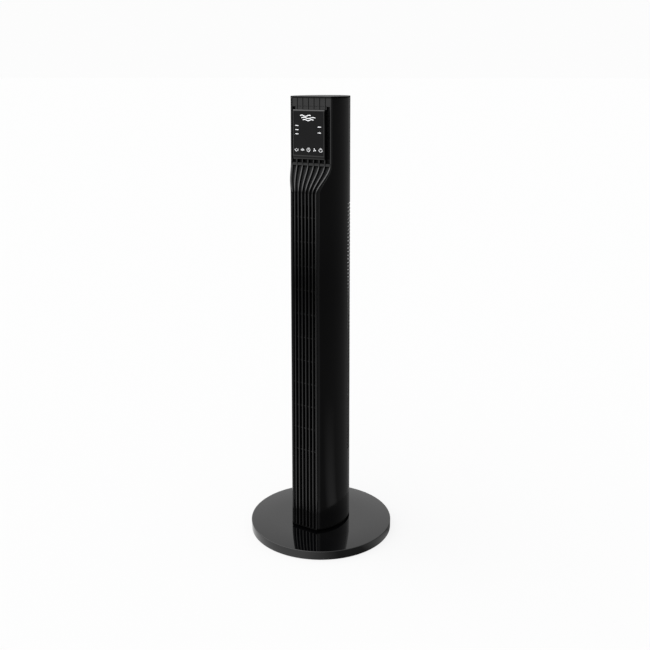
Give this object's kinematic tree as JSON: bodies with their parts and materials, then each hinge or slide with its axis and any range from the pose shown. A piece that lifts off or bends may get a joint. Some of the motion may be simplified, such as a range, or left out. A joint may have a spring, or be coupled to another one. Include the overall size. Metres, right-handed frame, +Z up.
{
  "type": "tower fan",
  "caption": "Slim black tower fan: an oscillating ribbed column with a touch panel at its head, a cross-flow blower inside and a round glossy base.",
  "frame": {"origin": "on the floor, on the axis that the column swings about", "axes": "+Z up along the column; -Y is the front, where the air comes out; +X is the fan's own left, on the right as seen from the front"},
  "size_m": [0.3, 0.3, 0.908],
  "materials": {
    "satin_black_plastic": "satin moulded black",
    "gloss_black_plastic": "mirror gloss black",
    "grille_black_plastic": "semi-gloss moulded black",
    "touch_glass": "smooth dark acrylic",
    "inner_black_plastic": "plain moulded black",
    "black_rubber": "matt",
    "pale_nylon": "natural nylon",
    "cast_iron": "as cast",
    "plated_steel": "zinc plated",
    "lamination_steel": "stacked laminations",
    "copper_winding": "enamelled copper wire",
    "bronze_bush": "sintered bronze",
    "motor_aluminium": "pressed bright",
    "circuit_board": "green solder mask",
    "cable_sheath": "satin sheath"
  },
  "bodies": {
    "base": {"base_cover": "gloss_black_plastic", "base_plate": "inner_black_plastic", "base_screw_1": "plated_steel", "base_screw_2": "plated_steel", "base_screw_3": "plated_steel", "rubber_foot_1": "black_rubber", "rubber_foot_2": "black_rubber", "rubber_foot_3": "black_rubber", "rubber_foot_4": "black_rubber", "counterweight": "cast_iron", "pivot_post": "plated_steel", "glide_washer": "pale_nylon", "pivot_nut": "plated_steel", "sector_gear": "pale_nylon"},
    "column": {"column_floor": "inner_black_plastic", "top_cap": "satin_black_plastic", "side_panel_left": "satin_black_plastic", "side_panel_right": "satin_black_plastic", "front_grille": "grille_black_plastic", "rear_cover": "satin_black_plastic", "rear_screw_1": "plated_steel", "rear_screw_2": "plated_steel", "rear_screw_3": "plated_steel", "rear_screw_4": "plated_steel", "duct_scroll": "inner_black_plastic", "vortex_tongue": "inner_black_plastic", "motor_bulkhead": "inner_black_plastic", "top_bearing_bracket": "inner_black_plastic", "bearing_rubber": "black_rubber", "top_bearing": "bronze_bush", "motor_bell_upper": "motor_aluminium", "motor_bell_lower": "motor_aluminium", "motor_pad": "black_rubber", "motor_stator": "lamination_steel", "motor_winding_lower": "copper_winding", "motor_winding_upper": "copper_winding", "motor_bearing_lower": "bronze_bush", "motor_bearing_upper": "bronze_bush", "motor_screw_1": "plated_steel", "motor_screw_2": "plated_steel", "swing_bracket": "plated_steel", "swing_motor": "plated_steel", "power_board": "circuit_board", "motor_capacitor": "inner_black_plastic", "control_cable": "cable_sheath", "cord_gland": "black_rubber", "control_bezel": "grille_black_plastic", "touch_plate": "touch_glass", "control_board": "circuit_board", "touch_spring_1": "plated_steel", "touch_spring_2": "plated_steel", "touch_spring_3": "plated_steel", "touch_spring_4": "plated_steel", "touch_spring_5": "plated_steel", "buzzer": "inner_black_plastic", "infrared_receiver": "inner_black_plastic"},
    "impeller": {"impeller": "inner_black_plastic", "impeller_top_pin": "plated_steel", "motor_rotor": "plated_steel"},
    "pinion": {"drive_pinion": "pale_nylon"}
  },
  "joints": [
    {"name": "column_swing", "type": "hinge", "parent": "base", "child": "column", "pos_m": [0, 0, 0.0194], "axis": [0, 0, 1], "range_deg": [-40, 40]},
    {"name": "impeller_spin", "type": "hinge", "parent": "column", "child": "impeller", "pos_m": [0, 0.004, 0.184], "axis": [0, 0, 1], "continuous": true},
    {"name": "pinion_spin", "type": "hinge", "parent": "column", "child": "pinion", "pos_m": [0, 0.03035, 0.03], "axis": [0, 0, 1], "range_deg": [-161, 161]}
  ],
  "couplings": [
    {"joint": "pinion_spin", "follows": "column_swing", "ratio": 4}
  ]
}
